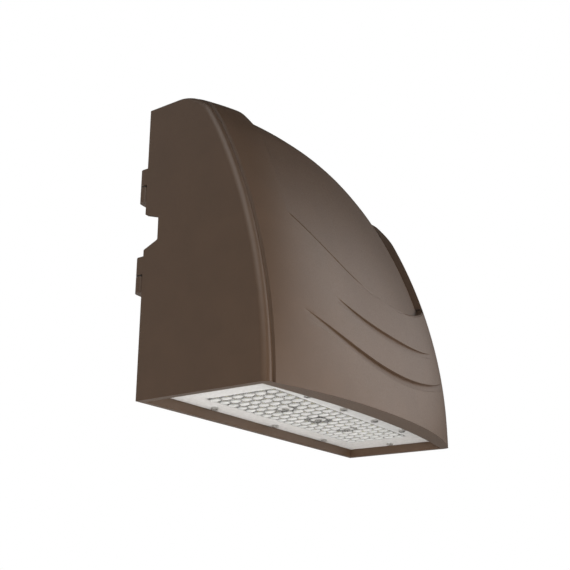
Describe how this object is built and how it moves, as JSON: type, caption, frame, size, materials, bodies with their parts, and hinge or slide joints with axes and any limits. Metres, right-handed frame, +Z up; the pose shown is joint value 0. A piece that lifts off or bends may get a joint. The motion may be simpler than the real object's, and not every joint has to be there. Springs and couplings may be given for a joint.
{
  "type": "wall pack light",
  "caption": "Outdoor wall light with a crowned bronze cast housing, a recessed LED optic panel underneath, and a side hinge off a wall box for wiring.",
  "frame": {"origin": "centre of the wire entry and of the four lag screw holes, on the wall box's back face, which is the wall plane", "axes": "+Z up, +X to the right as seen from the front, +Y into the wall, so the light faces -Y"},
  "size_m": [0.3594, 0.147, 0.2751],
  "materials": {
    "housing": "dark bronze powder coat on die-cast aluminium, satin, fine orange peel",
    "wall_box": "dark bronze powder coat on die-cast aluminium, satin, fine orange peel",
    "optic_panel": "clear moulded acrylic, gloss",
    "optic_gasket": "light grey silicone, matt",
    "led_board": "white solder mask, satin",
    "leds": "pale yellow phosphor lens, gloss",
    "thermal_pad": "soft grey silicone sheet",
    "optic_screws": "stainless",
    "board_screws": "stainless",
    "board_connector": "white nylon",
    "floor_seal": "black silicone",
    "box_gasket": "black silicone, matt",
    "hinge_pins": "stainless",
    "hinge_washers": "nylon",
    "conduit_plugs": "dark bronze powder coat on aluminium",
    "terminal_block": "black moulded plastic",
    "terminal_screws": "plated brass",
    "ground_screw": "green finish",
    "upper_closure_screw": "stainless",
    "lower_closure_screw": "stainless",
    "gear_tray": "galvanised sheet",
    "tray_screws": "zinc plated",
    "driver_case": "off-white enamel on an aluminium case",
    "driver_end_caps": "dark moulded plastic",
    "driver_screws": "zinc plated",
    "surge_protector": "dark moulded plastic",
    "surge_screws": "zinc plated",
    "tray_grommet": "black rubber",
    "quick_connector": "natural nylon",
    "driver_output_lead": "black jacketed lead",
    "driver_input_lead": "black jacketed lead"
  },
  "bodies": {
    "wall_mount": {"wall_box": "wall_box", "box_gasket": "box_gasket", "hinge_pins": "hinge_pins", "hinge_washers": "hinge_washers", "conduit_plugs": "conduit_plugs", "terminal_block": "terminal_block", "terminal_screws": "terminal_screws", "ground_screw": "ground_screw"},
    "door": {"housing": "housing", "optic_panel": "optic_panel", "optic_gasket": "optic_gasket", "led_board": "led_board", "leds": "leds", "thermal_pad": "thermal_pad", "optic_screws": "optic_screws", "board_screws": "board_screws", "board_connector": "board_connector", "floor_seal": "floor_seal", "gear_tray": "gear_tray", "tray_screws": "tray_screws", "driver_case": "driver_case", "driver_end_caps": "driver_end_caps", "driver_screws": "driver_screws", "surge_protector": "surge_protector", "surge_screws": "surge_screws", "tray_grommet": "tray_grommet", "quick_connector": "quick_connector", "driver_output_lead": "driver_output_lead", "driver_input_lead": "driver_input_lead"},
    "upper_closure": {"upper_closure_screw": "upper_closure_screw"},
    "lower_closure": {"lower_closure_screw": "lower_closure_screw"}
  },
  "joints": [
    {"name": "door_hinge", "type": "hinge", "parent": "wall_mount", "child": "door", "pos_m": [-0.174, -0.0045, 0.00435], "axis": [0, 0, -1], "range_deg": [0, 90]},
    {"name": "upper_closure_back_out", "type": "slide", "parent": "wall_mount", "child": "upper_closure", "axis": [1, 0, 0], "range_m": [0, 0.004]},
    {"name": "lower_closure_back_out", "type": "slide", "parent": "wall_mount", "child": "lower_closure", "axis": [1, 0, 0], "range_m": [0, 0.004]}
  ]
}
